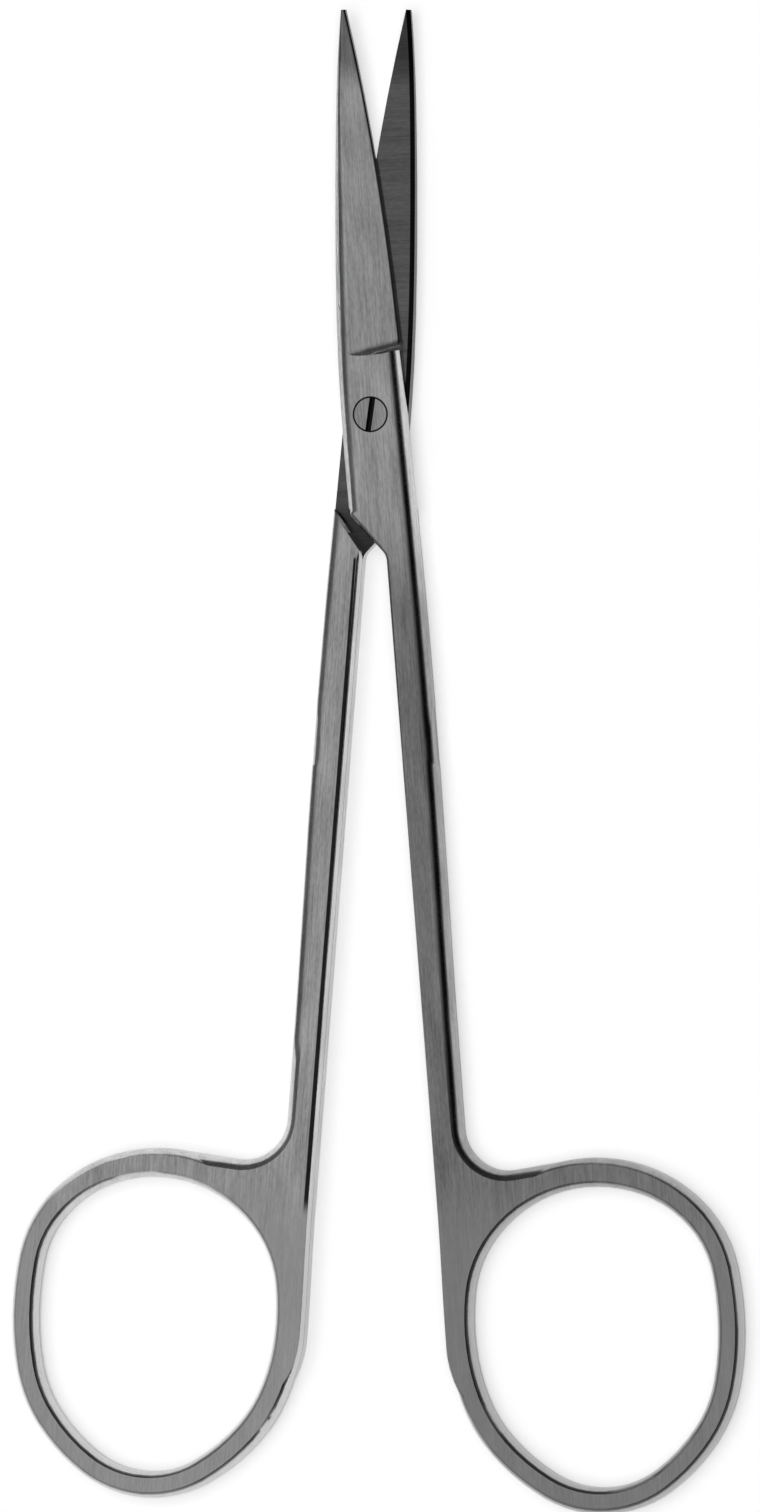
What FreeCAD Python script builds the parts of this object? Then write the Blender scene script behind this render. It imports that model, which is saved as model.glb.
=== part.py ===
"""Straight fine-pointed surgical scissors with a screw joint.

Two equal forgings, one turned over onto the other, are held by one slotted screw.
Each forging is drawn in its own frame, closed: X across, Y along the blade towards
the tip, Z up from the plane where the halves meet. The lap, the shoulder that stops
the closing, the ground faces and the bore are cut from one rounded blank.
"""
import FreeCAD, Part
import math
import os
import PartDesign
import Sketcher
from FreeCAD import Placement, Rotation, Vector

SIZES = {
    "blade_length": 31.1,
    "tip_width": 0.36,
    "tip_offset": 0.13,
    "blade_root_y": 4.7,
    "edge_notch": 0.1,
    "edge_lower_x": 2.05,
    "edge_lower_y": 12.5,
    "edge_upper_x": 1.42,
    "edge_upper_y": 20.4,
    "spine_middle_x": 1.71,
    "spine_middle_y": 17.4,
    "tip_height": 0.52,
    "taper_middle_height": 1.08,
    "grind_border": 0.56,
    "grind_slope": 0.23,
    "grind_fall": 0.0186,
    "grind_skew": 0.2,
    "runout_start": 0.75,
    "runout_radius": 1.3,
    "joint_width": 5.0,
    "joint_thickness": 2.9,
    "joint_corner_radius": 0.9,
    "shoulder_x": 1.48,
    "shoulder_y": 8.75,
    "shoulder_angle": 51.0,
    "shoulder_gap": 0.1,
    "arch_radius": 1.2,
    "lap_gap": 0.04,
    "shank_inner_x": 0.22,
    "shank_inner_low_x": 0.36,
    "shank_inner_low_y": 60.0,
    "shank_joint_x": 2.66,
    "shank_joint_y": 7.5,
    "shank_widest_x": 2.89,
    "shank_widest_y": 24.0,
    "shank_lower_x": 2.74,
    "shank_lower_y": 50.0,
    "ring_blank_thickness": 3.27,
    "handle_thickness": 2.7,
    "taper_start_y": 10.0,
    "taper_end_y": 58.0,
    "crotch_radius": 3.4,
    "crotch_above": 13.25,
    "ring_center_x": 11.83,
    "front_ring_y": 71.7,
    "back_ring_y": 70.95,
    "back_ring_scale": 0.985,
    "ring_right": 9.5,
    "ring_upper_right": 11.19,
    "ring_top": 11.53,
    "ring_upper_left": 10.85,
    "ring_left": 9.5,
    "ring_lower_left": 10.07,
    "ring_bottom": 11.41,
    "ring_lower_right": 10.24,
    "ring_band_side": 2.0,
    "ring_band_top": 2.25,
    "ring_band_bottom": 2.05,
    "ring_side_gap": 0.3,
    "shank_side_gap": 0.25,
    "arc_tolerance": 0.05,
    "edge_rounding": 1.3,
    "spine_rounding": 0.45,
    "tip_rounding": 0.15,
    "merge_rounding": 0.95,
    "inner_rounding": 0.28,
    "merge_depth": 0.75,
    "merge_radius": 9.0,
    "crotch_sink": 0.015,
    "pivot_offset": 0.15,
    "opening_angle": 4.39,
    "head_diameter": 2.5,
    "head_thickness": 0.7,
    "head_gap": 0.05,
    "slot_width": 0.45,
    "slot_depth": 0.5,
    "slot_turn": 8.0,
    "pivot_diameter": 1.9,
    "pivot_gap": 0.03,
    "thread_diameter": 1.5,
    "thread_gap": 0.01,
}

DOC = FreeCAD.newDocument("surgical_scissors")
SHEET = DOC.addObject("Spreadsheet::Sheet", "sizes")
for row, (name, value) in enumerate(SIZES.items(), start=1):
    SHEET.set(f"A{row}", name)
    SHEET.set(f"B{row}", str(value))
    SHEET.setAlias(f"B{row}", name)
DOC.recompute()


def size(name):
    """A driving dimension, read back from the sheet."""
    return float(SHEET.get(name))


def plane_of(body, role):
    """The body's own origin plane with the given role."""
    return next(item for item in body.Origin.OriginFeatures if item.Role == role)


def sketch_on(body, role, name, curves):
    """A sketch on one of the body's origin planes, made of the given curves in order."""
    sketch = body.newObject("Sketcher::SketchObject", name)
    sketch.AttachmentSupport = [(plane_of(body, role), "")]
    sketch.MapMode = "FlatFace"
    sketch.addGeometry(curves, False)
    return sketch


def spline(points, start=None, end=None):
    """A smooth curve through the points, with end directions where they are given."""
    curve = Part.BSplineCurve()
    if start is None:
        curve.interpolate(Points=points)
    else:
        curve.interpolate(Points=points, InitialTangent=start, FinalTangent=end)
    return curve


def arc_along(start, direction, end):
    """The arc from start to end that leaves start in the given direction."""
    chord = end - start
    turn = direction.getAngle(chord)
    bulge = (direction - chord * (direction.dot(chord) / chord.dot(chord))).normalize()
    middle = (start + end) / 2 + bulge * (chord.Length / 2 * math.tan(turn / 2))
    return Part.Arc(start, middle, end)


def arc_pair(start, start_way, end, end_way):
    """Two tangent arcs that leave start and reach end in the given directions."""
    chord = end - start
    ways = start_way + end_way
    bend = 2 * (1 - start_way.dot(end_way))
    pull = chord.dot(ways)
    reach = (math.sqrt(pull * pull + bend * chord.dot(chord)) - pull) / bend
    joint = (start + end + (start_way - end_way) * reach) / 2
    joint_way = (joint - start - start_way * reach).normalize()
    return [arc_along(start, start_way, joint), arc_along(joint, joint_way, end)]


def closed_arcs(points):
    """A smooth loop of tangent arcs through the points, two between each pair."""
    ways = []
    for before, point, after in zip(points[-1:] + points[:-1], points, points[1:] + points[:1]):
        center = Part.Circle(before, point, after).Center
        spoke = (point - center).normalize()
        ways.append(Vector(-spoke.y, spoke.x, 0))
    arcs = []
    for index, point in enumerate(points):
        after = (index + 1) % len(points)
        arcs += arc_pair(point, ways[index], points[after], ways[after])
    return arcs, ways


def as_arcs(curve):
    """The curve drawn as a chain of tangent arcs, which round and grind cleanly."""
    return curve.toBiArcs(size("arc_tolerance"))


def polygon(points):
    """Straight lines round the points, closed."""
    return [Part.LineSegment(a, b) for a, b in zip(points, points[1:] + points[:1])]


def ring_curves(center_y, scale):
    """Inner and outer ring curves, the outer one a band further out along the normals."""
    names = ("left", "lower_left", "bottom", "lower_right", "right", "upper_right", "top", "upper_left")
    center = Vector(size("ring_center_x"), -center_y, 0)
    knots = []
    for index, name in enumerate(names):
        angle = math.radians(180 + 45 * index)
        knots.append(center + Vector(math.cos(angle), math.sin(angle), 0) * size("ring_" + name) * scale)
    inner, ways = closed_arcs(knots)
    left, right, top, bottom = (
        knots[0].x - size("ring_side_gap"),
        *(size("ring_band_" + name) for name in ("side", "top", "bottom")),
    )
    bands = (left, (left + bottom) / 2, bottom, right, right, right, top, (left + top) / 2)
    outer_points = [knot + Vector(way.y, -way.x, 0) * band for knot, way, band in zip(knots, ways, bands)]
    outer, _ = closed_arcs(outer_points)
    crest, _ = closed_arcs([(knot + point) / 2 for knot, point in zip(knots, outer_points)])
    return inner, outer, crest


def shoulder_line(gap):
    """Two points on the shoulder's line, on the blank's left, moved down by the gap."""
    angle = math.radians(size("shoulder_angle"))
    along = Vector(math.cos(angle), -math.sin(angle), 0)
    across = Vector(-math.sin(angle), -math.cos(angle), 0)
    middle = Vector(-size("shoulder_x"), -size("shoulder_y"), 0) + across * gap
    return middle, along


def meet(point, along, x):
    """The point at the given x on a slanted line."""
    return point + along * ((x - point.x) / along.x)


def vertical_edges(shape, places):
    """Names of the edges that stand upright at the given places."""

    def near(point, place):
        return math.hypot(point.x - place.x, point.y - place.y) < 0.01

    names = []
    for index, edge in enumerate(shape.Edges, start=1):
        low, high = edge.firstVertex().Point, edge.lastVertex().Point
        if any(near(low, place) and near(high, place) for place in places):
            names.append(f"Edge{index}")
    return names


def rounded_corners(body, name, places, radius):
    """Round the upright edges at the places by a radius bound to the sheet."""
    base = body.Tip
    fillet = body.newObject("PartDesign::Fillet", name)
    fillet.Base = (base, vertical_edges(base.Shape, places))
    fillet.setExpression("Radius", radius)
    DOC.recompute()
    return fillet


def cut(body, name, sketch, way):
    """Cut the sketch through everything, downwards or to both sides, and see that it did cut."""
    before = body.Shape.Volume
    pocket = body.newObject("PartDesign::Pocket", name)
    pocket.Profile = sketch
    pocket.Type = "ThroughAll"
    pocket.Refine = False
    if way == "both":
        pocket.SideType = "Symmetric"
    DOC.recompute()
    if body.Shape.Volume > before - 0.001:
        raise RuntimeError(f"{name} took nothing away")
    return pocket


def lap_points():
    """The lap recess: all that the other half's blade, joint and shank swing through."""
    middle, along = shoulder_line(size("shoulder_gap"))
    inner_x = size("shank_inner_x")
    far = size("joint_width") * 2
    top = size("blade_length") + far
    high = meet(middle, along, -far)
    low = meet(middle, along, -inner_x)
    bottom = low.y - size("arch_radius") * 2
    return [
        Vector(-high.x, high.y, 0),
        Vector(-low.x, low.y, 0),
        Vector(inner_x, bottom, 0),
        Vector(-far, bottom, 0),
        Vector(-far, top, 0),
        Vector(far, top, 0),
    ]


def taper_curves():
    """Side view of what the taper of the blade leaves out, along Y and up."""
    start = Vector(size("blade_root_y"), size("joint_thickness") / 2, 0)
    middle = Vector(size("spine_middle_y"), size("taper_middle_height"), 0)
    tip = Vector(size("blade_length"), size("tip_height"), 0)
    circle = Part.Circle(start, middle, tip)
    past_tip = Rotation(Vector(0, 0, 1), -math.degrees(1 / circle.Radius))
    end = circle.Center + past_tip.multVec(tip - circle.Center)
    roof = start.y + 1
    return [
        Part.Arc(start, middle, end),
        Part.LineSegment(end, Vector(end.x, roof, 0)),
        Part.LineSegment(Vector(end.x, roof, 0), Vector(start.x, roof, 0)),
        Part.LineSegment(Vector(start.x, roof, 0), start),
    ]


def cross(curve, y):
    """The curve's parameter where it crosses the given Y."""
    line = Part.LineSegment(Vector(-100, y, 0), Vector(100, y, 0))
    hit = curve.intersect(line)[0]
    return curve.parameter(Vector(hit.X, hit.Y, 0))


def spine_pieces():
    """The spine curve, split where the blade leaves the joint."""
    half_joint = size("joint_width") / 2
    tip_left = Vector(-size("tip_offset") - size("tip_width") / 2, size("blade_length"), 0)
    points = [
        Vector(-half_joint, 0, 0),
        Vector(-size("spine_middle_x"), size("spine_middle_y"), 0),
        tip_left,
    ]
    lower = spline(points, Vector(0, 1, 0), Vector(0.15, 1, 0))
    upper = lower.copy()
    split = cross(lower, size("blade_root_y"))
    lower.segment(lower.FirstParameter, split)
    upper.segment(split, upper.LastParameter)
    return lower, upper


def ring(name, center_y, scale):
    """The finger ring: where a rounded disc and a plate with a rounded hole, both ground flat, agree."""
    inner, outer, _ = ring_curves(center_y, scale)
    reach = size("ring_center_x")
    far = size("front_ring_y") + reach * 2
    low, high = Vector(-reach, -far, 0), Vector(reach * 3, reach * 2 - size("front_ring_y"), 0)
    frame = polygon([low, Vector(high.x, low.y, 0), high, Vector(low.x, high.y, 0)])
    disc = rounded_plate(name + "_ring_disc", outer, outer)
    plate = rounded_plate(name + "_ring_hole", frame + inner, inner)
    both = DOC.addObject("Part::Common", name + "_ring")
    both.Base = disc
    both.Tool = plate
    both.Refine = False
    DOC.recompute()
    return both


def rounded_plate(name, outline, rounded):
    """A plate a little over the forging's thickness, some walls rounded, both faces ground flat."""
    body = DOC.addObject("PartDesign::Body", name)
    drawn = sketch_on(body, "XY_Plane", name + "_outline", outline)
    pad(body, name + "_pad", drawn, "ring_blank_thickness")
    base = body.Tip
    places = [middle_of(curve) for curve in rounded]
    edges = []
    for index, _, middle, _ in face_edges(base.Shape, size("ring_blank_thickness")):
        if any(math.hypot(middle.x - place.x, middle.y - place.y) < 0.01 for place in places):
            edges.append(f"Edge{index}")
    rounding = body.newObject("PartDesign::Fillet", name + "_rounding")
    rounding.Base = (base, edges)
    rounding.setExpression("Radius", "sizes.edge_rounding")
    DOC.recompute()
    flats = sketch_on(body, "YZ_Plane", name + "_flats_profile", flats_profile())
    cut(body, name + "_flats", flats, "both")
    return body


def pad(body, name, sketch, thickness):
    """The sketch padded to a named thickness, half of it up and half down."""
    feature = body.newObject("PartDesign::Pad", name)
    feature.Profile = sketch
    feature.SideType = "Symmetric"
    feature.setExpression("Length", "sizes." + thickness)
    DOC.recompute()
    return feature


def face_edges(shape, thickness):
    """Number, ends and middle of each edge that bounds the two outer faces."""
    found = []
    for index, edge in enumerate(shape.Edges, start=1):
        box = edge.BoundBox
        if abs(abs(box.ZMin) - thickness / 2) < 0.001 and box.ZLength < 0.001:
            first, last = edge.firstVertex().Point, edge.lastVertex().Point
            middle = edge.valueAt((edge.FirstParameter + edge.LastParameter) / 2)
            found.append((index, first, middle, last))
    return found


def crotch_curves(top_arc, center_y):
    """Crotch arc beside the shank, then the straight line that just sinks into the ring's top arc."""
    circle = top_arc.toShape().Curve
    radius = size("crotch_radius")
    center = Vector(size("shank_lower_x") + radius, radius + size("crotch_above") - center_y, 0)
    apart = circle.Center - center
    lean = math.atan2(apart.x, -apart.y)
    slope = lean - math.acos((radius + circle.Radius - size("crotch_sink")) / apart.Length)
    down = Vector(math.sin(slope), -math.cos(slope), 0)
    start = center - Vector(radius, 0, 0)
    middle = center + (down - Vector(1, 0, 0)).normalize() * radius
    low = center + down * radius
    end = circle.Center - down * (circle.Radius - size("crotch_sink"))
    return [Part.Arc(start, middle, low), Part.LineSegment(low, end)], start, end


def shank_blank(name, center_y, scale):
    """Joint and shank of one half, running out inside the ring, with rounded edges."""
    body = DOC.addObject("PartDesign::Body", name + "_shank")
    _, outer, crest = ring_curves(center_y, scale)
    half_joint = size("joint_width") / 2
    spine, _ = spine_pieces()
    root_left = spine.EndPoint
    root_right = Vector(half_joint - size("edge_notch"), size("blade_root_y"), 0)
    shank_end = Vector(size("shank_lower_x"), -size("shank_lower_y"), 0)
    crotch, crotch_start, web_end = crotch_curves(outer[12], center_y)
    crest_top, crest_side = crest[12].StartPoint, crest[15].EndPoint
    side = Vector(size("shank_side_gap"), crest_side.y, 0)
    reach = size("ring_band_side") * size("merge_depth")
    turn = math.acos(1 - reach / size("merge_radius"))
    merge_center = side + Vector(size("merge_radius"), 0, 0)
    merge_end = merge_center - Vector(math.cos(turn), math.sin(turn), 0) * size("merge_radius")
    merge_middle = merge_center - Vector(math.cos(turn / 2), math.sin(turn / 2), 0) * size("merge_radius")
    middle, along = shoulder_line(0)
    arch = meet(middle, along, size("shank_inner_x"))
    corner = meet(middle, along, -half_joint)
    inner_low = Vector(size("shank_inner_low_x"), -size("shank_inner_low_y"), 0)
    shank_points = [
        root_right,
        Vector(size("shank_joint_x"), -size("shank_joint_y"), 0),
        Vector(size("shank_widest_x"), -size("shank_widest_y"), 0),
        shank_end,
    ]
    in_ring = [
        Part.LineSegment(web_end, crest_top),
        *crest[12:16],
        Part.LineSegment(crest_side, merge_end),
    ]
    root = Part.LineSegment(root_left, root_right)
    curves = [
        *as_arcs(spline(shank_points, Vector(0.02, -1, 0), Vector(0, -1, 0))),
        Part.LineSegment(shank_end, crotch_start),
        *crotch,
        *in_ring,
        Part.Arc(merge_end, merge_middle, side),
        *arc_pair(side, Vector(0, 1, 0), inner_low, (arch - inner_low).normalize()),
        Part.LineSegment(inner_low, arch),
        Part.LineSegment(arch, corner),
        Part.LineSegment(corner, spine.StartPoint),
        *as_arcs(spine),
        root,
    ]
    outline = sketch_on(body, "XY_Plane", name + "_outline", curves)
    pad(body, name + "_shank_pad", outline, "joint_thickness")
    rounded_corners(body, name + "_arch", [arch], "sizes.arch_radius")
    rounded_corners(body, name + "_joint_corner", [corner], "sizes.joint_corner_radius")
    rounding = DOC.addObject("Part::Fillet", name + "_shank_rounding")
    rounding.Base = body
    rounding.Edges = shank_roundings(body.Shape, [*in_ring, root], side.y)
    DOC.recompute()
    return rounding


def middle_of(curve):
    """The point halfway along a drawn curve."""
    edge = curve.toShape()
    return edge.valueAt((edge.FirstParameter + edge.LastParameter) / 2)


def shank_roundings(shape, sharp, side_y):
    """Edge numbers and end radii: full outside, fine inside, medium on the joint's left and in the ring."""
    sharp_places = [middle_of(curve) for curve in sharp]

    def radius(point):
        if point.y < side_y - 0.01 and point.x < size("shank_joint_x"):
            return size("merge_rounding")
        if point.x > size("shank_joint_x") - 0.5:
            return size("edge_rounding")
        return size("spine_rounding") if point.x < -size("arch_radius") else size("inner_rounding")

    edges = []
    for index, first, middle, last in face_edges(shape, size("joint_thickness")):
        first, middle, last = (Vector(point.x, point.y, 0) for point in (first, middle, last))
        if all((middle - place).Length > 0.01 for place in sharp_places):
            edges.append((index, radius(first), radius(last)))
    return edges


def blade(name):
    """The blade from the joint on: outer side tapering to the tip, spine rounded, inner side flat."""
    body = DOC.addObject("PartDesign::Body", name + "_blade")
    _, spine = spine_pieces()
    root_right = Vector(size("joint_width") / 2 - size("edge_notch"), size("blade_root_y"), 0)
    tip_left = spine.EndPoint
    tip_right = tip_left + Vector(size("tip_width"), 0, 0)
    edge_points = [
        tip_right,
        Vector(size("edge_upper_x"), size("edge_upper_y"), 0),
        Vector(size("edge_lower_x"), size("edge_lower_y"), 0),
        root_right,
    ]
    curves = [
        *as_arcs(spine),
        Part.LineSegment(tip_left, tip_right),
        *as_arcs(spline(edge_points)),
        Part.LineSegment(root_right, spine.StartPoint),
    ]
    outline = sketch_on(body, "XY_Plane", name + "_blade_outline", curves)
    feature = body.newObject("PartDesign::Pad", name + "_blade_pad")
    feature.Profile = outline
    feature.setExpression("Length", "sizes.joint_thickness / 2")
    DOC.recompute()
    taper = sketch_on(body, "YZ_Plane", name + "_taper_profile", taper_curves())
    cut(body, name + "_taper", taper, "both")
    root = size("blade_root_y")

    def radius(point):
        share = (point.y - root) / (tip_left.y - root)
        return size("spine_rounding") + (size("tip_rounding") - size("spine_rounding")) * share

    edges = []
    for index, edge in enumerate(body.Shape.Edges, start=1):
        first, last = edge.firstVertex().Point, edge.lastVertex().Point
        on_top = min(first.z, last.z) > size("lap_gap")
        if on_top and abs(first.y - last.y) > 1 and first.x < -size("tip_offset"):
            edges.append((index, radius(first), radius(last)))
    rounding = DOC.addObject("Part::Fillet", name + "_spine_rounding")
    rounding.Base = body
    rounding.Edges = edges
    DOC.recompute()
    return rounding


def grind_profile():
    """Side view of the ground blade face: a straight fall to the tip and a hollow run-out at the root."""
    angle = math.atan(size("grind_fall"))
    top = size("joint_thickness") / 2
    root = size("blade_root_y")
    spine_x = -spine_pieces()[1].StartPoint.x
    border_x = spine_x - size("grind_border")
    height = top - size("grind_slope") * border_x
    radius = size("runout_radius")
    side = size("joint_width")
    start = size("runout_start")
    low = Vector(root + start - size("grind_skew") * side, height - size("grind_fall") * start, 0)
    low.y += size("grind_slope") * side
    center = low + Vector(math.sin(angle), math.cos(angle), 0) * radius
    middle = center + Vector(-math.sin(math.radians(45)), -math.cos(math.radians(45)), 0) * radius
    wall = center - Vector(radius, 0, 0)
    far = size("blade_length") + 5
    end = low + Vector(far - low.x, -(far - low.x) * size("grind_fall"), 0)
    roof = top + 3
    return [
        Part.LineSegment(end, low),
        Part.Arc(low, middle, wall),
        Part.LineSegment(wall, Vector(wall.x, roof, 0)),
        Part.LineSegment(Vector(wall.x, roof, 0), Vector(far, roof, 0)),
        Part.LineSegment(Vector(far, roof, 0), end),
    ]


def flats_profile():
    """Side view of what the grinding takes off both outer faces of shank and ring."""
    high = size("joint_thickness") / 2
    low = size("handle_thickness") / 2
    start, end = -size("taper_start_y"), -size("taper_end_y")
    far = -size("front_ring_y") * 1.5
    lines = []
    for side in (1, -1):
        points = [(start, high), (end, low), (far, low), (far, high + 1), (start, high + 1)]
        lines += polygon([Vector(y, z * side, 0) for y, z in points])
    return lines


def half(name, center_y, scale, bore_side):
    """One forging: blank, blade and ring joined, then lap, blade and flats ground, then bored."""
    forging = DOC.addObject("Part::MultiFuse", name + "_forging")
    forging.Shapes = [shank_blank(name, center_y, scale), ring(name, center_y, scale), blade(name)]
    forging.Refine = False
    DOC.recompute()
    body = DOC.addObject("PartDesign::Body", name)
    body.BaseFeature = forging
    DOC.recompute()
    lap = sketch_on(body, "XY_Plane", name + "_lap", polygon(lap_points()))
    lap.AttachmentOffset = Placement(Vector(0, 0, size("lap_gap") / 2), Rotation())
    cut(body, name + "_lap_recess", lap, "down")
    grind = sketch_on(body, "YZ_Plane", name + "_grind_profile", grind_profile())
    grind.AttachmentOffset = Placement(Vector(0, 0, -size("joint_width")), Rotation())
    ground = body.newObject("PartDesign::Pocket", name + "_blade_grind")
    ground.Profile = grind
    ground.Refine = False
    ground.UseCustomVector = True
    ground.Direction = Vector(1, size("grind_skew"), -size("grind_slope"))
    ground.setExpression("Length", "sizes.joint_width * 2")
    DOC.recompute()
    flats = sketch_on(body, "YZ_Plane", name + "_flats_profile", flats_profile())
    cut(body, name + "_flats", flats, "both")
    offset = Vector(-bore_side * size("pivot_offset"), 0, 0)
    top = size("joint_thickness") / 2
    if bore_side > 0:
        bore = size("pivot_diameter") / 2 + size("pivot_gap")
    else:
        bore = size("thread_diameter") / 2 + size("thread_gap")
    circle = Part.Circle(offset, Vector(0, 0, 1), bore)
    hole = sketch_on(body, "XY_Plane", name + "_bore_circle", [circle])
    cut(body, name + "_bore", hole, "both")
    if bore_side > 0:
        wide = size("head_diameter") / 2 + size("head_gap")
        circle = Part.Circle(offset, Vector(0, 0, 1), wide)
        sink = sketch_on(body, "XY_Plane", name + "_head_circle", [circle])
        sink.AttachmentOffset = Placement(Vector(0, 0, top), Rotation())
        pocket = body.newObject("PartDesign::Pocket", name + "_head_seat")
        pocket.Profile = sink
        pocket.setExpression("Length", "sizes.head_thickness")
        DOC.recompute()
    return body


def screw():
    """The pivot screw, turned round its own axis, with a slot across the head."""
    body = DOC.addObject("PartDesign::Body", "pivot_screw")
    height = size("joint_thickness")
    head, pivot, thread = (size(key) / 2 for key in ("head_diameter", "pivot_diameter", "thread_diameter"))
    under_head = height - size("head_thickness")
    shoulder = height / 2
    points = [
        (0, 0),
        (thread, 0),
        (thread, shoulder),
        (pivot, shoulder),
        (pivot, under_head),
        (head, under_head),
        (head, height),
        (0, height),
    ]
    outline = polygon([Vector(x, z, 0) for x, z in points])
    profile = sketch_on(body, "XZ_Plane", "screw_profile", outline)
    turned = body.newObject("PartDesign::Revolution", "screw_turned")
    turned.Profile = profile
    turned.ReferenceAxis = (profile, ["V_Axis"])
    turned.Angle = 360
    DOC.recompute()
    wide = size("head_diameter")
    deep = size("slot_width") / 2
    corners = [Vector(x * deep, y * wide, 0) for x, y in ((-1, -1), (1, -1), (1, 1), (-1, 1))]
    slot = sketch_on(body, "XY_Plane", "slot_outline", polygon(corners))
    slot.AttachmentOffset = Placement(Vector(0, 0, height), Rotation(Vector(0, 0, 1), -size("slot_turn")))
    pocket = body.newObject("PartDesign::Pocket", "screw_slot")
    pocket.Profile = slot
    pocket.setExpression("Length", "sizes.slot_depth")
    DOC.recompute()
    return body


def place(feature, turn, flip):
    """Put a half into the shared frame: over the pivot, turned open, resting on Z = 0."""
    level = Placement(Vector(0, 0, size("joint_thickness") / 2), Rotation(Vector(0, 0, 1), turn))
    over = Placement(Vector(size("pivot_offset"), 0, 0), Rotation(Vector(0, 1, 0), 180 if flip else 0))
    feature.Placement = level.multiply(over)


def export(features):
    """Write one STEP file for each piece after a look at its state and shape."""
    os.makedirs("parts", exist_ok=True)
    for feature in DOC.Objects:
        if "Invalid" in feature.State or "Error" in feature.State:
            raise RuntimeError(f"{feature.Name} failed: {feature.State}")
    for name, feature in features.items():
        feature.Label = name
        shape = feature.Shape
        if shape.isNull() or not shape.isValid() or len(shape.Solids) != 1:
            raise RuntimeError(f"{name} isn't one sound solid")
        shape.exportStep(f"parts/{name}.step")


front = half("front_half", size("front_ring_y"), 1.0, 1)
back = half("back_half", size("back_ring_y"), size("back_ring_scale"), -1)
place(front, size("opening_angle"), False)
place(back, -size("opening_angle"), True)
pivot = screw()
DOC.recompute()
export({"front_half": front, "back_half": back, "pivot_screw": pivot})
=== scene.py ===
"""Looks of the surgical scissors: satin ground steel on a pale table, seen from above."""
import math

import bpy
from bpy.props import FloatProperty, FloatVectorProperty, PointerProperty
from mathutils import Matrix, Vector

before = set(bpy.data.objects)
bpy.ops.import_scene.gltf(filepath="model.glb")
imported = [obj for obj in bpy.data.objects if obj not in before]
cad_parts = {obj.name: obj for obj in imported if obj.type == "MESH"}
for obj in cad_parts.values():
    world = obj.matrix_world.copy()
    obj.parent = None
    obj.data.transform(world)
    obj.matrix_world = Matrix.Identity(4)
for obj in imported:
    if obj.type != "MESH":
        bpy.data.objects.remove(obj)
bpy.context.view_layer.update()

bl_info = {
    "name": "Surgical Scissors",
    "version": (1, 0, 0),
    "blender": (4, 5, 0),
    "location": "3D View > Sidebar > Scissors",
    "description": "Finishes and stages a pair of fine straight scissors",
    "category": "Object",
}

LAP_HEIGHT = 0.00145
HALF_TURN = {"front_half": math.radians(4.39), "back_half": math.radians(-4.39)}
BORE_RADIUS = {"front_half": 0.0013, "back_half": 0.00076}
LAP_GRAIN_TURN = math.radians(84)
SCREW_GRAIN_TURN = 0.1

# Where tones and painted shade change, in metres. A SPAN is the start and the end of a smooth change.
LAP_SPAN = (0.00004, 0.00007)
SHOULDER_PAINTED_SHADE_SPAN = (-0.009, -0.005)
GRAIN_SPAN = (-0.064, -0.056)
RING_BORDER_PAINTED_SHADE_SPAN = (-0.062, -0.057)
FRONT_SHANK_PAINTED_SHADE_SPAN = (-0.016, -0.006)
FRONT_RING_PAINTED_SHADE_SPAN = (-0.065, -0.055)
BACK_RING_PAINTED_SHADE_SPAN = (-0.062, -0.05)
TIP_PAINTED_SHADE_SPAN = (0.0245, 0.0275)
BORE_RIM_PAINTED_SHADE_SPAN = (0.00006, 0.0001)
SLOT_PAINTED_SHADE_SPAN = (0.00278, 0.00284)

# Outlines of a half in millimetres: the place across it as a polynomial of the place along it.
SHANK_OUTER = (-1.0436e-10, -1.6609e-08, -5.3673e-07, 1.2618e-05, 0.0002247, -0.02115, 2.6455)
SHANK_INNER = (-0.00284628, 0.33916)
CUTTING_EDGE = (-2.1217e-05, -0.00130862, -0.0183558, 2.67147)
SPINE = (1.4513e-07, -8.1755e-06, 0.00011782, 0.0020013, 0.0048645, -2.3521)
ROUNDING_RADIUS = 1.3

# Height of the outer flats over the lap, in millimetres: it falls along the shank, with a limit at the joint.
FLAT_HEIGHT = (0.00208, 1.4708)
JOINT_FLAT_HEIGHT = 1.45
FLAT_BORDER_SPAN = (0.004, 0.01)
OFF_LAP_SPAN = (0.06, 0.1)

# Places along a half, in millimetres, between which its rounded normals and its painted shade lines fade in
# and out.
ROUNDING_SPANS = ((-50.0, -48.0), (3.5, 4.5))
BACK_SPANS = ((-7.6, -7.2), (28.0, 30.0))
INNER_EDGE_SPANS = ((-62.0, -60.0), (-11.2, -10.9))
SPINE_SPAN = (-4.0, -3.5)
CUTTING_EDGE_SPAN = (5.0, 5.5)
BACK_TAPER = (8.0, 31.0, 1.05, 0.3)

# Heights on the unit sphere round the part where the room's ceiling begins and its low walls end.
CEILING_SPAN = (0.58, 0.94)
LOW_WALL_SPAN = (-0.1, 0.2)
ROOM_LEAN = 0.08


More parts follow.
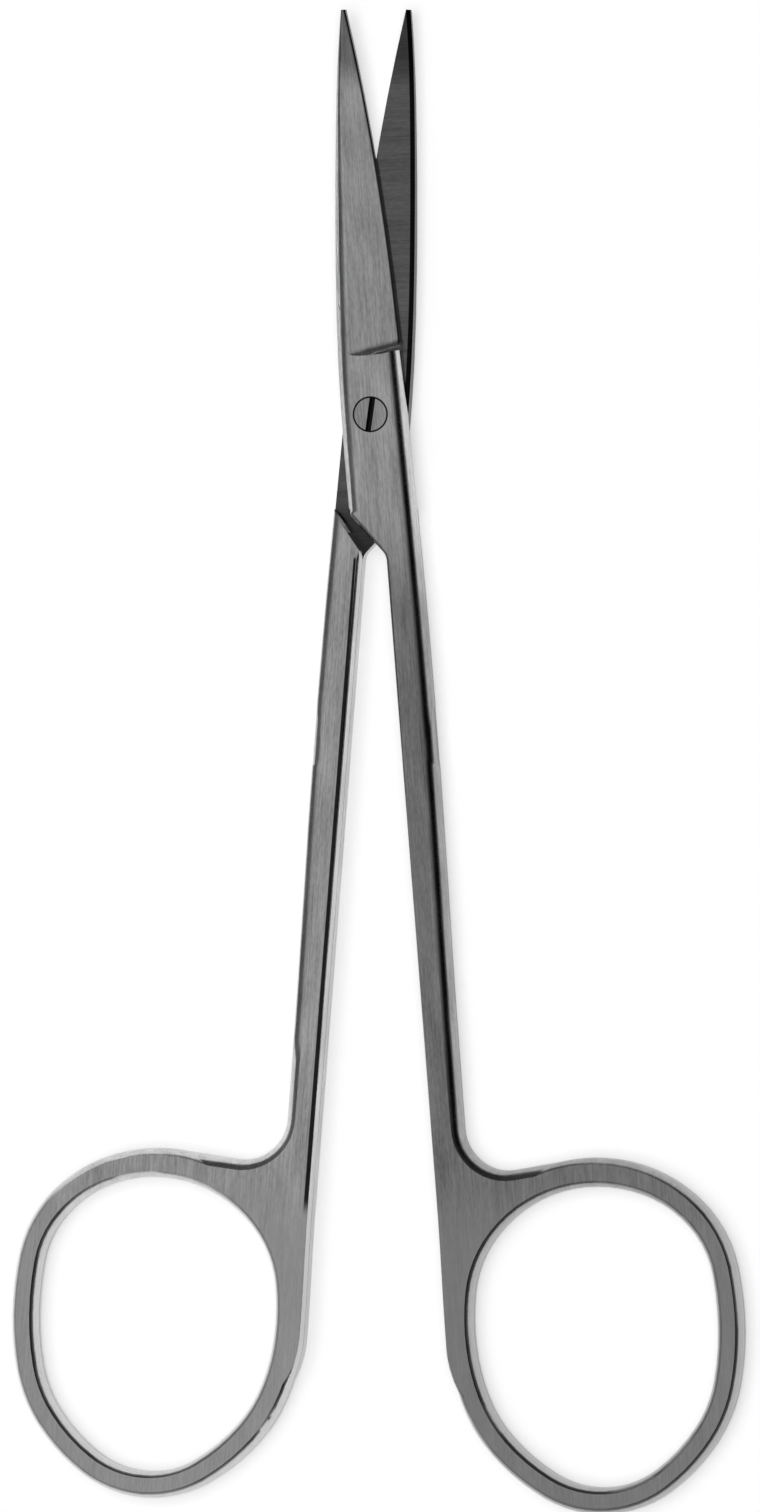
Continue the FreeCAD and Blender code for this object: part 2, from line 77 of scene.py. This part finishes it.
class SteelSettings(bpy.types.PropertyGroup):
    """Finish of the ground and turned steel, and the shade painted into its colour."""

    ground_color: FloatVectorProperty(
        name="Ground steel", description="Colour of the satin ground halves", subtype="COLOR",
        size=3, min=0.0, max=1.0, default=(0.74, 0.74, 0.745))
    screw_color: FloatVectorProperty(
        name="Screw steel", description="Colour of the turned screw", subtype="COLOR",
        size=3, min=0.0, max=1.0, default=(0.6, 0.6, 0.605))
    # Painted shade: the lap faces are darkened in the base colour, standing in for their darker reflection.
    lap_painted_shade: FloatProperty(
        name="Lap shade", description="Tone of the cross-ground lap faces against the outer faces",
        min=0.0, max=1.0, default=0.29)
    # Painted shade: the blade tips are darkened in the base colour, standing in for their darker reflection.
    tip_painted_shade: FloatProperty(
        name="Tip shade", description="Tone of the blade tips against the rest",
        min=0.0, max=1.0, default=0.5)
    ring_contrast: FloatProperty(
        name="Ring contrast",
        description="Difference in tone between the grinding lines on the rings against that on the shanks",
        min=0.0, max=1.0, default=0.35)
    # Painted shade: the front half's shank and ring are darkened in the base colour, standing in for their
    # darker reflections.
    front_shank_painted_shade: FloatProperty(
        name="Front shank shade", description="Tone of the front half's shank against its blade",
        min=0.0, max=1.0, default=0.55)
    front_ring_painted_shade: FloatProperty(
        name="Front ring shade", description="Tone of the front half's ring against its blade",
        min=0.0, max=1.0, default=0.68)
    # Painted shade: the back half's ring is darkened in the base colour, standing in for its darker
    # reflection.
    back_ring_painted_shade: FloatProperty(
        name="Back ring shade", description="Tone of the back half's ring against its shank",
        min=0.0, max=1.0, default=0.95)
    # Painted shade: the lap face beside the shoulder step is darkened where shade falls in the recess.
    shoulder_painted_shade: FloatProperty(
        name="Shoulder shade", description="Tone of the lap face beside the shoulder against the blade's",
        min=0.0, max=1.0, default=0.35)
    # Painted shade: narrow dark lines along the cutting edges, the shank's inner edge and the spine, standing
    # in for shadows and dark reflections.
    edge_painted_shade: FloatProperty(
        name="Edge shade", description="Tone of the narrow lines along the edges", min=0.0, max=1.0,
        default=0.05)
    # Painted shade: thin dark lines where the rings' flats turn into their roundings, standing in for dark
    # reflections.
    ring_line_painted_shade: FloatProperty(
        name="Ring line shade", description="Tone of the thin lines along the rings' flats",
        min=0.0, max=1.0, default=0.35)
    # Painted shade: the screw's slot and the gap round its head are darkened where shade falls.
    gap_painted_shade: FloatProperty(
        name="Gap shade", description="Tone in the screw's slot and round its head", min=0.0, max=1.0,
        default=0.03)
    roughness: FloatProperty(
        name="Roughness", description="Mean roughness of the ground steel", min=0.05, max=1.0, default=0.2)
    scratch_spacing: FloatProperty(
        name="Scratch spacing", description="Distance between the grinding lines", subtype="DISTANCE",
        unit="LENGTH", min=0.00002, max=0.001, default=0.00011)
    scratch_depth: FloatProperty(
        name="Scratch depth", description="Depth of the grinding lines", subtype="DISTANCE",
        unit="LENGTH", min=0.0, max=0.0001, default=0.000004)
    scratch_contrast: FloatProperty(
        name="Scratch contrast", description="Difference in tone between the grinding lines",
        min=0.0, max=2.0, default=0.7)


class StageSettings(bpy.types.PropertyGroup):
    """Camera, table and light."""

    camera_tilt: FloatProperty(
        name="Camera tilt", description="Lean of the camera from straight above towards the right",
        subtype="ANGLE", unit="ROTATION", min=0.0, max=1.2, default=math.radians(12.5))
    camera_distance: FloatProperty(
        name="Camera distance", description="Distance from the camera to the table", subtype="DISTANCE",
        unit="LENGTH", min=0.2, max=5.0, default=1.2)
    view_height: FloatProperty(
        name="View height", description="Length of table that the picture's height shows",
        subtype="DISTANCE", unit="LENGTH", min=0.02, max=1.0, default=0.11592)
    view_center: FloatVectorProperty(
        name="View centre", description="Point of the table in the middle of the picture",
        subtype="TRANSLATION", unit="LENGTH", size=3, default=(0.00012, -0.02614, 0.0))
    table_color: FloatVectorProperty(
        name="Table", description="Colour of the table top", subtype="COLOR",
        size=3, min=0.0, max=1.0, default=(0.93, 0.93, 0.93))
    table_glow: FloatProperty(
        name="Table white", description="Light that the table adds for the camera and in reflections",
        min=0.0, max=2.0, default=0.5)
    mirrored_glow: FloatProperty(
        name="Mirrored white", description="Share of the table's added light that the steel mirrors",
        min=0.0, max=1.0, default=0.6)
    table_light: FloatProperty(
        name="Table light", description="Power of the large soft light above the table", subtype="POWER",
        unit="POWER", min=0.0, max=100.0, default=12.0)
    ceiling_light: FloatProperty(
        name="Ceiling", description="Brightness of the ceiling that the flats mirror", min=0.0, max=4.0,
        default=0.3)
    wall_light: FloatProperty(
        name="Walls", description="Brightness of the dim walls of the room", min=0.0, max=4.0, default=0.05)
    low_wall_light: FloatProperty(
        name="Low walls", description="Brightness of the walls near the floor",
        min=0.0, max=4.0, default=0.4)


def socket_group(name, inputs, outputs):
    """An empty shader node group with the given float, colour or vector sockets."""
    group = bpy.data.node_groups.new(name, "ShaderNodeTree")
    for label, kind, value in inputs:
        group.interface.new_socket(label, in_out="INPUT", socket_type=kind).default_value = value
    for label, kind in outputs:
        group.interface.new_socket(label, in_out="OUTPUT", socket_type=kind)
    return group, group.nodes.new("NodeGroupInput"), group.nodes.new("NodeGroupOutput")


def math_node(tree, operation, first, second=None, clamp=False):
    """One math node; each term is a number or a socket."""
    node = tree.nodes.new("ShaderNodeMath")
    node.operation = operation
    node.use_clamp = clamp
    for socket, term in zip(node.inputs, (first, second)):
        if isinstance(term, (int, float)):
            socket.default_value = term
        elif term is not None:
            tree.links.new(term, socket)
    return node.outputs[0]


def noise_node(tree, vector, scale, detail):
    """A noise texture on the given coordinates."""
    node = tree.nodes.new("ShaderNodeTexNoise")
    node.inputs["Scale"].default_value = scale
    node.inputs["Detail"].default_value = detail
    tree.links.new(vector, node.inputs["Vector"])
    return node.outputs["Fac"]


def smooth_step(tree, value, low, high, start=0.0, end=1.0):
    """A smooth change from one value to another while the input goes from low to high."""
    node = tree.nodes.new("ShaderNodeMapRange")
    node.interpolation_type = "SMOOTHSTEP"
    terms = (("From Min", low), ("From Max", high), ("To Min", start), ("To Max", end))
    for name, term in terms:
        node.inputs[name].default_value = term
    tree.links.new(value, node.inputs["Value"])
    return node.outputs["Result"]


def between(tree, value, rise, fall):
    """1 between the two spans, 0 outside, with smooth changes within them."""
    return product(tree, smooth_step(tree, value, *rise), smooth_step(tree, value, *fall, 1.0, 0.0))


def blend(tree, factor, first, second):
    """First value where the factor is 0, second where it is 1."""
    node = tree.nodes.new("ShaderNodeMix")
    for name, term in (("Factor", factor), ("A", first), ("B", second)):
        if isinstance(term, float):
            node.inputs[name].default_value = term
        else:
            tree.links.new(term, node.inputs[name])
    return node.outputs["Result"]


def polynomial(tree, value, factors):
    """The polynomial with these factors, the highest power first."""
    total = factors[0]
    for factor in factors[1:]:
        total = math_node(tree, "ADD", math_node(tree, "MULTIPLY", value, total), factor)
    return total


def product(tree, *terms):
    """All terms multiplied."""
    total = terms[0]
    for term in terms[1:]:
        total = math_node(tree, "MULTIPLY", total, term)
    return total


def stretched(tree, vector, across, along, height):
    """The coordinates multiplied by one factor for each axis."""
    scaled = tree.nodes.new("ShaderNodeVectorMath")
    scaled.operation = "MULTIPLY"
    scaled.inputs[1].default_value = (across, along, height)
    tree.links.new(vector, scaled.inputs[0])
    return scaled.outputs[0]


def grinding_group(spacing):
    """Fine lines along Y, noise squeezed across them and stretched along them, with faint clouds."""
    group, inputs, outputs = socket_group(
        "grinding_lines",
        [("Vector", "NodeSocketVector", (0.0, 0.0, 0.0))],
        [("Height", "NodeSocketFloat"), ("Cloud", "NodeSocketFloat")])
    vector = inputs.outputs["Vector"]
    fine = noise_node(group, stretched(group, vector, 1 / spacing, 0.03 / spacing, 1 / spacing), 1.0, 3.0)
    short = noise_node(group, stretched(group, vector, 0.7 / spacing, 0.2 / spacing, 1 / spacing), 1.0, 2.0)
    lines = math_node(group, "ADD", math_node(group, "MULTIPLY", fine, 0.6),
                      math_node(group, "MULTIPLY", short, 0.4))
    wide = stretched(group, vector, 0.1 / spacing, 0.02 / spacing, 0.1 / spacing)
    cloud = noise_node(group, wide, 1.0, 2.0)
    group.links.new(lines, outputs.inputs["Height"])
    group.links.new(cloud, outputs.inputs["Cloud"])
    return group


def rounded_normal(group, outward, side, rise):
    """Unit normal that leans outwards by this share, to the side and away from the lap face."""
    lean = math_node(group, "SQRT", math_node(group, "SUBTRACT", 1.0, product(group, outward, outward)))
    normal = group.nodes.new("ShaderNodeCombineXYZ")
    group.links.new(product(group, outward, side), normal.inputs["X"])
    group.links.new(product(group, lean, math_node(group, "SIGN", rise)), normal.inputs["Z"])
    return normal.outputs[0]


def outline_group():
    """Normals and masks from the outline of a half.

    Vector runs along the half, Side is 1 where its shank lies on the right and -1 on the left. Outer Normal
    holds on the rounding of the shank and the joint, Back Normal on that of the back of the blade. Cutting
    Edge, Inner Edge and Spine are masks of narrow lines of painted shade.
    """
    group, inputs, outputs = socket_group(
        "half_outline",
        [("Vector", "NodeSocketVector", (0.0, 0.0, 0.0)), ("Side", "NodeSocketFloat", 1.0)],
        [("Outer Normal", "NodeSocketVector"), ("Outer", "NodeSocketFloat"),
         ("Back Normal", "NodeSocketVector"), ("Back", "NodeSocketFloat"),
         ("Cutting Edge", "NodeSocketFloat"), ("Inner Edge", "NodeSocketFloat"),
         ("Spine", "NodeSocketFloat")])
    scaled = group.nodes.new("ShaderNodeVectorMath")
    scaled.operation = "SCALE"
    scaled.inputs["Scale"].default_value = 1000.0
    group.links.new(inputs.outputs["Vector"], scaled.inputs[0])
    split = group.nodes.new("ShaderNodeSeparateXYZ")
    group.links.new(scaled.outputs[0], split.inputs[0])
    side = inputs.outputs["Side"]
    along = split.outputs["Y"]
    across = product(group, split.outputs["X"], side)
    rise = math_node(group, "SUBTRACT", split.outputs["Z"], LAP_HEIGHT * 1000)
    from_middle = math_node(group, "ABSOLUTE", rise)
    off_lap = smooth_step(group, from_middle, *OFF_LAP_SPAN)
    flat_height = math_node(group, "MINIMUM", polynomial(group, along, FLAT_HEIGHT), JOINT_FLAT_HEIGHT)
    below_flat = math_node(group, "SUBTRACT", flat_height, from_middle)
    beside_flat = smooth_step(group, below_flat, *FLAT_BORDER_SPAN)

    from_outer = math_node(group, "SUBTRACT", across, polynomial(group, along, SHANK_OUTER))
    share = math_node(group, "DIVIDE", from_outer, ROUNDING_RADIUS)
    outward = math_node(group, "ADD", share, 1.0, clamp=True)
    group.links.new(rounded_normal(group, outward, side, rise), outputs.inputs["Outer Normal"])
    outer = product(group, beside_flat, off_lap, smooth_step(group, across, 1.1, 1.2),
                    between(group, along, *ROUNDING_SPANS))
    group.links.new(outer, outputs.inputs["Outer"])

    from_spine = math_node(group, "SUBTRACT", across, polynomial(group, along, SPINE))
    radius = smooth_step(group, along, *BACK_TAPER)
    inward = math_node(group, "DIVIDE", from_spine, radius)
    outward = math_node(group, "SUBTRACT", 1.0, inward, clamp=True)
    opposite = product(group, side, -1.0)
    group.links.new(rounded_normal(group, outward, opposite, rise), outputs.inputs["Back Normal"])
    back = product(group, smooth_step(group, inward, 0.75, 1.0, 1.0, 0.0), off_lap,
                   between(group, along, *BACK_SPANS))
    group.links.new(back, outputs.inputs["Back"])
    # Spine: a narrow line of painted shade along the back of the blade.
    spine = product(group, smooth_step(group, from_spine, 0.04, 0.12, 1.0, 0.0),
                    smooth_step(group, along, *SPINE_SPAN))
    group.links.new(spine, outputs.inputs["Spine"])

    # Inner Edge and Cutting Edge: narrow lines of painted shade along the shank's inner edge and along the
    # cutting edge.
    from_inner = math_node(group, "SUBTRACT", across, polynomial(group, along, SHANK_INNER))
    inner = product(group, smooth_step(group, from_inner, 0.05, 0.14, 1.0, 0.0),
                    math_node(group, "SUBTRACT", 1.0, beside_flat),
                    between(group, along, *INNER_EDGE_SPANS))
    group.links.new(inner, outputs.inputs["Inner Edge"])
    from_edge = math_node(group, "SUBTRACT", polynomial(group, along, CUTTING_EDGE), across)
    cutting = product(group, smooth_step(group, from_edge, 0.08, 0.25, 1.0, 0.0),
                      smooth_step(group, along, *CUTTING_EDGE_SPAN))
    group.links.new(cutting, outputs.inputs["Cutting Edge"])
    return group


def rounding_normal(tree, outline, turn):
    """World normal of a half: that of its mesh, and on the long roundings the one of its outline."""
    result = tree.nodes.new("ShaderNodeNewGeometry").outputs["Normal"]
    for part in ("Outer", "Back"):
        turned = tree.nodes.new("ShaderNodeVectorRotate")
        turned.rotation_type = "Z_AXIS"
        turned.inputs["Angle"].default_value = turn
        tree.links.new(outline.outputs[part + " Normal"], turned.inputs["Vector"])
        world = tree.nodes.new("ShaderNodeVectorTransform")
        world.vector_type = "NORMAL"
        world.convert_from = "OBJECT"
        world.convert_to = "WORLD"
        tree.links.new(turned.outputs[0], world.inputs[0])
        mix = tree.nodes.new("ShaderNodeMix")
        mix.data_type = "VECTOR"
        tree.links.new(outline.outputs[part], mix.inputs[0])
        tree.links.new(result, mix.inputs[4])
        tree.links.new(world.outputs[0], mix.inputs[5])
        result = mix.outputs[1]
    return result


def painted_ring_border_shade(tree, along, shade):
    """Painted shade: thin dark lines where the rings' flats turn into their roundings, picked by the slope of
    the surface.
    """
    facing = tree.nodes.new("ShaderNodeSeparateXYZ")
    tree.links.new(tree.nodes.new("ShaderNodeTexCoord").outputs["Normal"], facing.inputs[0])
    level = math_node(tree, "ABSOLUTE", facing.outputs["Z"])
    line = product(tree, between(tree, level, (0.55, 0.66), (0.9, 0.96)),
                   smooth_step(tree, along, *RING_BORDER_PAINTED_SHADE_SPAN, 1.0, 0.0))
    return smooth_step(tree, line, 0.0, 1.0, 1.0, shade)


def steel_material(name, color, turn, cross_turn, settings, painted_shades, painted_outline_lines=()):
    """Satin steel: lines along the piece outside, across it on the lap face.

    Each painted shade is (coordinate, low, high, tone at low, tone at high). A half also names the painted
    shade lines along its outline, and gets painted shade lines where its rings' flats turn into their
    roundings.
    """
    material = bpy.data.materials.new(name)
    material.use_nodes = True
    tree = material.node_tree
    shader = tree.nodes["Principled BSDF"]
    shader.inputs["Metallic"].default_value = 1.0
    coordinates = tree.nodes.new("ShaderNodeTexCoord").outputs["Object"]
    split = tree.nodes.new("ShaderNodeSeparateXYZ")
    tree.links.new(coordinates, split.inputs[0])
    from_lap = math_node(tree, "ABSOLUTE", math_node(tree, "SUBTRACT", split.outputs["Z"], LAP_HEIGHT))
    lap = smooth_step(tree, from_lap, *LAP_SPAN, 1.0, 0.0)
    turned = []
    grains = []
    for angle in (-turn, -turn + cross_turn):
        mapping = tree.nodes.new("ShaderNodeMapping")
        mapping.inputs["Rotation"].default_value = (0.0, 0.0, angle)
        tree.links.new(coordinates, mapping.inputs["Vector"])
        grain = tree.nodes.new("ShaderNodeGroup")
        grain.node_tree = bpy.data.node_groups["grinding_lines"]
        tree.links.new(mapping.outputs[0], grain.inputs["Vector"])
        turned.append(mapping.outputs[0])
        grains.append(grain)
    height = blend(tree, lap, grains[0].outputs["Height"], grains[1].outputs["Height"])
    cloud = blend(tree, lap, grains[0].outputs["Cloud"], grains[1].outputs["Cloud"])
    lines = product(tree, math_node(tree, "SUBTRACT", height, 0.5), settings.scratch_contrast * 2)
    clouds = product(tree, math_node(tree, "SUBTRACT", cloud, 0.5), settings.scratch_contrast)
    contrast = smooth_step(tree, split.outputs["Y"], *GRAIN_SPAN, settings.ring_contrast, 1.0)
    tone = math_node(tree, "ADD", product(tree, math_node(tree, "ADD", lines, clouds), contrast), 1.0)
    # Painted shade beside the shoulder step, on the lap face.
    shoulder = smooth_step(tree, split.outputs["Y"], *SHOULDER_PAINTED_SHADE_SPAN, settings.shoulder_painted_shade, 1.0)
    # Painted shade: the lap faces are darker than the outer faces.
    lap_painted_tone = product(tree, shoulder, settings.lap_painted_shade)
    tone = product(tree, tone, blend(tree, lap, 1.0, lap_painted_tone))
    level = tree.nodes.new("ShaderNodeVectorMath")
    level.operation = "MULTIPLY"
    level.inputs[1].default_value = (1.0, 1.0, 0.0)
    tree.links.new(coordinates, level.inputs[0])
    radius = tree.nodes.new("ShaderNodeVectorMath")
    radius.operation = "LENGTH"
    tree.links.new(level.outputs[0], radius.inputs[0])
    places = {"Y": split.outputs["Y"], "Z": split.outputs["Z"], "Radius": radius.outputs["Value"]}
    # Painted shade along Y, Z or the distance from the pivot.
    for key, low, high, start, end in painted_shades:
        tone = product(tree, tone, smooth_step(tree, places[key], low, high, start, end))
    if painted_outline_lines:
        outline = tree.nodes.new("ShaderNodeGroup")
        outline.node_tree = bpy.data.node_groups["half_outline"]
        outline.inputs["Side"].default_value = math.copysign(1.0, turn)
        tree.links.new(turned[0], outline.inputs["Vector"])
        # Painted shade: thin dark lines at the borders of the rings' flats.
        tone = product(tree, tone, painted_ring_border_shade(tree, split.outputs["Y"], settings.ring_line_painted_shade))
        # Painted shade: narrow dark lines along the half's edges.
        for line in painted_outline_lines:
            painted_line_shade = smooth_step(tree, outline.outputs[line], 0.0, 1.0, 1.0, settings.edge_painted_shade)
            tone = product(tree, tone, painted_line_shade)
    paint = tree.nodes.new("ShaderNodeVectorMath")
    paint.operation = "SCALE"
    paint.inputs[0].default_value = color
    tree.links.new(tone, paint.inputs["Scale"])
    tree.links.new(paint.outputs[0], shader.inputs["Base Color"])
    spread = math_node(tree, "MULTIPLY", cloud, 0.12)
    rough = math_node(tree, "ADD", spread, settings.roughness - 0.06)
    tree.links.new(rough, shader.inputs["Roughness"])
    bump = tree.nodes.new("ShaderNodeBump")
    bump.inputs["Strength"].default_value = 0.5
    bump.inputs["Distance"].default_value = settings.scratch_depth
    tree.links.new(height, bump.inputs["Height"])
    if painted_outline_lines:
        tree.links.new(rounding_normal(tree, outline, turn), bump.inputs["Normal"])
    tree.links.new(bump.outputs[0], shader.inputs["Normal"])
    return material


def dress(node, material):
    """Give a carried-over solid its finished material."""
    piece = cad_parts[node]
    piece.data.materials.clear()
    piece.data.materials.append(material)


class SCISSORS_OT_halves(bpy.types.Operator):
    """Finish both ground halves, with shade painted into their colour"""

    bl_idname = "scissors.halves"
    bl_label = "Finish Halves"

    def execute(self, context):
        settings = context.scene.scissors_steel
        grinding_group(settings.scratch_spacing)
        outline_group()
        # Painted shade: the front half's shank and ring and the back half's ring are darkened in the base
        # colour.
        front_ring_painted_ratio = settings.front_ring_painted_shade / settings.front_shank_painted_shade
        half_painted_shades = {"front_half": [("Y", *FRONT_SHANK_PAINTED_SHADE_SPAN, settings.front_shank_painted_shade, 1.0),
                                     ("Y", *FRONT_RING_PAINTED_SHADE_SPAN, front_ring_painted_ratio, 1.0)],
                      "back_half": [("Y", *BACK_RING_PAINTED_SHADE_SPAN, settings.back_ring_painted_shade, 1.0)]}
        # Narrow lines of painted shade along the edges of each half.
        own_painted_lines = {"front_half": ["Cutting Edge"], "back_half": ["Cutting Edge", "Inner Edge", "Spine"]}
        for node, turn in HALF_TURN.items():
            # Painted shade in the gap round the screw, inside the rim of the bore.
            rim = [BORE_RADIUS[node] + distance for distance in BORE_RIM_PAINTED_SHADE_SPAN]
            # Painted shade: darker blade tip.
            painted_shades = [("Y", *TIP_PAINTED_SHADE_SPAN, 1.0, settings.tip_painted_shade),
                      ("Radius", *rim, settings.gap_painted_shade, 1.0)] + half_painted_shades[node]
            dress(node, steel_material(node + "_steel", settings.ground_color, turn, LAP_GRAIN_TURN, settings,
                                       painted_shades, own_painted_lines[node]))
        return {"FINISHED"}


class SCISSORS_OT_screw(bpy.types.Operator):
    """Finish the pivot screw, with shade painted into its slot"""

    bl_idname = "scissors.screw"
    bl_label = "Finish Screw"

    def execute(self, context):
        settings = context.scene.scissors_steel
        # Painted shade in the screw's slot.
        painted_shades = [("Z", *SLOT_PAINTED_SHADE_SPAN, settings.gap_painted_shade, 1.0)]
        dress("pivot_screw", steel_material("screw_steel", settings.screw_color, SCREW_GRAIN_TURN, 0.0,
                                            settings, painted_shades))
        return {"FINISHED"}


def table_material(settings):
    """Pale table that keeps its shadows and shows white to the camera and in the steel."""
    material = bpy.data.materials.new("table_top")
    material.use_nodes = True
    tree = material.node_tree
    shader = tree.nodes["Principled BSDF"]
    shader.inputs["Base Color"].default_value = (*settings.table_color, 1.0)
    shader.inputs["Roughness"].default_value = 0.9
    shader.inputs["Specular IOR Level"].default_value = 0.1
    path = tree.nodes.new("ShaderNodeLightPath")
    mirrored = math_node(tree, "MULTIPLY", path.outputs["Is Glossy Ray"], settings.mirrored_glow)
    seen = math_node(tree, "MAXIMUM", path.outputs["Is Camera Ray"], mirrored)
    seen = math_node(tree, "MAXIMUM", seen, path.outputs["Is Transmission Ray"])
    glow = math_node(tree, "MULTIPLY", seen, settings.table_glow)
    shader.inputs["Emission Color"].default_value = (1.0, 1.0, 1.0, 1.0)
    tree.links.new(glow, shader.inputs["Emission Strength"])
    return material


def room(settings):
    """Even room: a grey ceiling over dim walls, darkest on the right and light again near the floor."""
    world = bpy.data.worlds.new("room")
    bpy.context.scene.world = world
    world.use_nodes = True
    tree = world.node_tree
    background = tree.nodes["Background"]
    background.inputs["Color"].default_value = (1.0, 1.0, 1.0, 1.0)
    coordinates = tree.nodes.new("ShaderNodeTexCoord")
    split = tree.nodes.new("ShaderNodeSeparateXYZ")
    tree.links.new(coordinates.outputs["Generated"], split.inputs[0])
    lean = product(tree, split.outputs["X"], ROOM_LEAN)
    level = math_node(tree, "SUBTRACT", split.outputs["Z"], lean)
    ceiling = smooth_step(tree, level, *CEILING_SPAN, 0.0, settings.ceiling_light)
    low_wall = smooth_step(tree, level, *LOW_WALL_SPAN, settings.low_wall_light, 0.0)
    wall = smooth_step(tree, split.outputs["X"], -1.0, 1.0, settings.wall_light * 2, 0.0)
    light = math_node(tree, "ADD", math_node(tree, "MAXIMUM", ceiling, low_wall), wall)
    tree.links.new(light, background.inputs["Strength"])


def soft_light(name, place, width, power):
    """A square soft light that faces down and isn't mirrored in the steel."""
    data = bpy.data.lights.new(name, "AREA")
    data.shape = "SQUARE"
    data.size = width
    data.energy = power
    lamp = bpy.data.objects.new(name, data)
    bpy.context.collection.objects.link(lamp)
    lamp.location = place
    lamp.visible_glossy = False


def picture_camera(settings):
    """A long lens above the table, leaning to the right, the blades upwards in the picture."""
    data = bpy.data.cameras.new("camera")
    data.sensor_fit = "VERTICAL"
    data.sensor_height = 24.0
    data.lens = data.sensor_height * settings.camera_distance / settings.view_height
    data.clip_start = 0.01
    data.clip_end = 20.0
    camera = bpy.data.objects.new("camera", data)
    bpy.context.collection.objects.link(camera)
    turn = Matrix.Rotation(settings.camera_tilt, 4, "Y")
    place = Matrix.Translation(Vector(settings.view_center))
    camera.matrix_world = place @ turn @ Matrix.Translation((0.0, 0.0, settings.camera_distance))
    bpy.context.scene.camera = camera


class SCISSORS_OT_stage(bpy.types.Operator):
    """Set up the table, the lights and the camera"""

    bl_idname = "scissors.stage"
    bl_label = "Set Up Stage"

    def execute(self, context):
        settings = context.scene.scissors_stage
        bpy.ops.mesh.primitive_plane_add(size=4.0, location=(0.0, 0.0, 0.0))
        table = context.active_object
        table.name = "table"
        table.data.materials.append(table_material(settings))
        room(settings)
        soft_light("table_light", (0.0, 0.0, 1.6), 1.5, settings.table_light)
        context.scene.view_settings.view_transform = "Standard"
        picture_camera(settings)
        return {"FINISHED"}


class SCISSORS_PT_panel(bpy.types.Panel):
    """Sizes, colours and steps of the scissors"""

    bl_idname = "SCISSORS_PT_panel"
    bl_label = "Scissors"
    bl_space_type = "VIEW_3D"
    bl_region_type = "UI"
    bl_category = "Scissors"

    def draw(self, context):
        scene = context.scene
        for label, group in (("Steel", scene.scissors_steel), ("Stage", scene.scissors_stage)):
            box = self.layout.box()
            box.label(text=label)
            for key in group.bl_rna.properties.keys():
                if key not in {"rna_type", "name"}:
                    box.prop(group, key)
        for step in (SCISSORS_OT_halves, SCISSORS_OT_screw, SCISSORS_OT_stage):
            self.layout.operator(step.bl_idname)


CLASSES = (
    SteelSettings,
    StageSettings,
    SCISSORS_OT_halves,
    SCISSORS_OT_screw,
    SCISSORS_OT_stage,
    SCISSORS_PT_panel,
)


def register():
    """Register the classes and hang both groups of settings on the scene."""
    for item in CLASSES:
        bpy.utils.register_class(item)
    bpy.types.Scene.scissors_steel = PointerProperty(type=SteelSettings)
    bpy.types.Scene.scissors_stage = PointerProperty(type=StageSettings)


def unregister():
    """Take away the settings and the classes, the last ones first."""
    del bpy.types.Scene.scissors_stage
    del bpy.types.Scene.scissors_steel
    for item in reversed(CLASSES):
        bpy.utils.unregister_class(item)


def main():
    """Run every step."""
    register()
    bpy.ops.scissors.halves()
    bpy.ops.scissors.screw()
    bpy.ops.scissors.stage()


if __name__ == "__main__":
    main()
